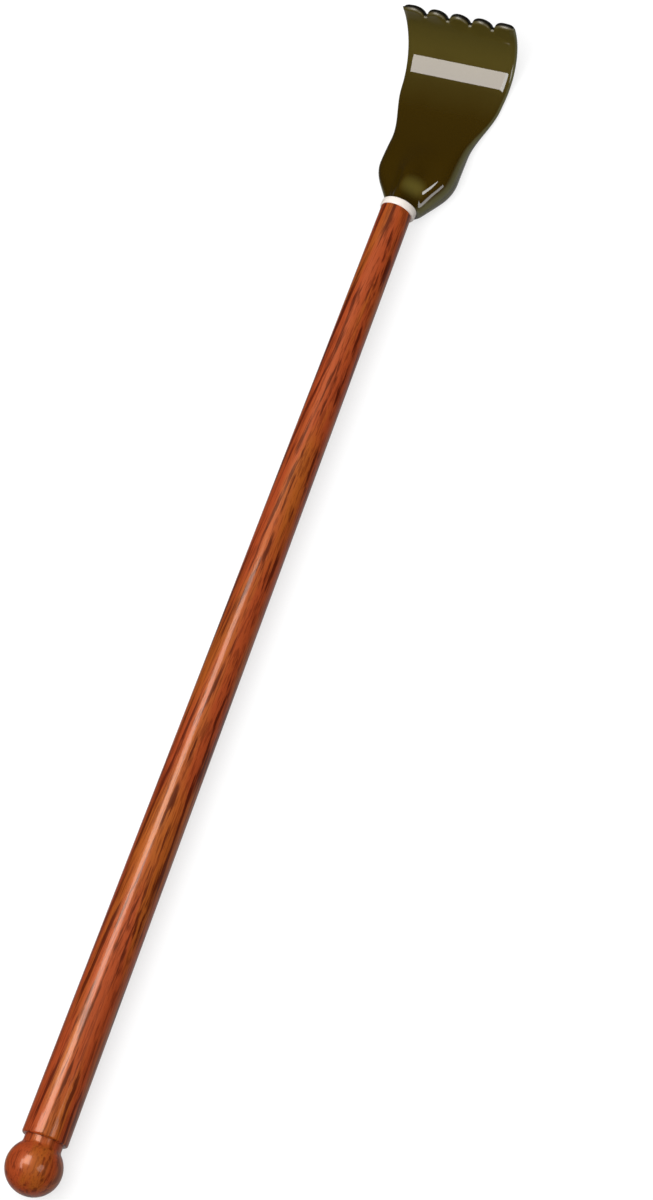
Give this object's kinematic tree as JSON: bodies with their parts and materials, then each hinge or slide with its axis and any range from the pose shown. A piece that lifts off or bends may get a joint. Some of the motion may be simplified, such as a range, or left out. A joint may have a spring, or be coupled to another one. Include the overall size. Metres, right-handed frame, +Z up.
{
  "type": "back scratcher",
  "caption": "Long back scratcher: tapered lacquered wooden shaft with a ball knob at its butt, a pale collar and a moulded smoke-brown hand with curled fingers.",
  "frame": {"origin": "centre of the bounding box in plan, on the surface that the ball and the palm's back lie on", "axes": "+X along the shaft towards the fingers, +Y across the hand, +Z up, out of the palm's face"},
  "size_m": [0.4425, 0.044, 0.02],
  "materials": {
    "lacquered_wood": "orange-brown flamed wood under a clear gloss lacquer",
    "bare_wood": "plain beech dowel, fluted, unfinished",
    "cream_plastic": "opaque cream, smooth",
    "smoke_plastic": "dark olive-brown, polished"
  },
  "bodies": {
    "root": {"shaft": "lacquered_wood", "knob": "lacquered_wood", "knob_dowel": "bare_wood", "collar": "cream_plastic", "hand_dowel": "bare_wood", "hand": "smoke_plastic"}
  },
  "joints": []
}
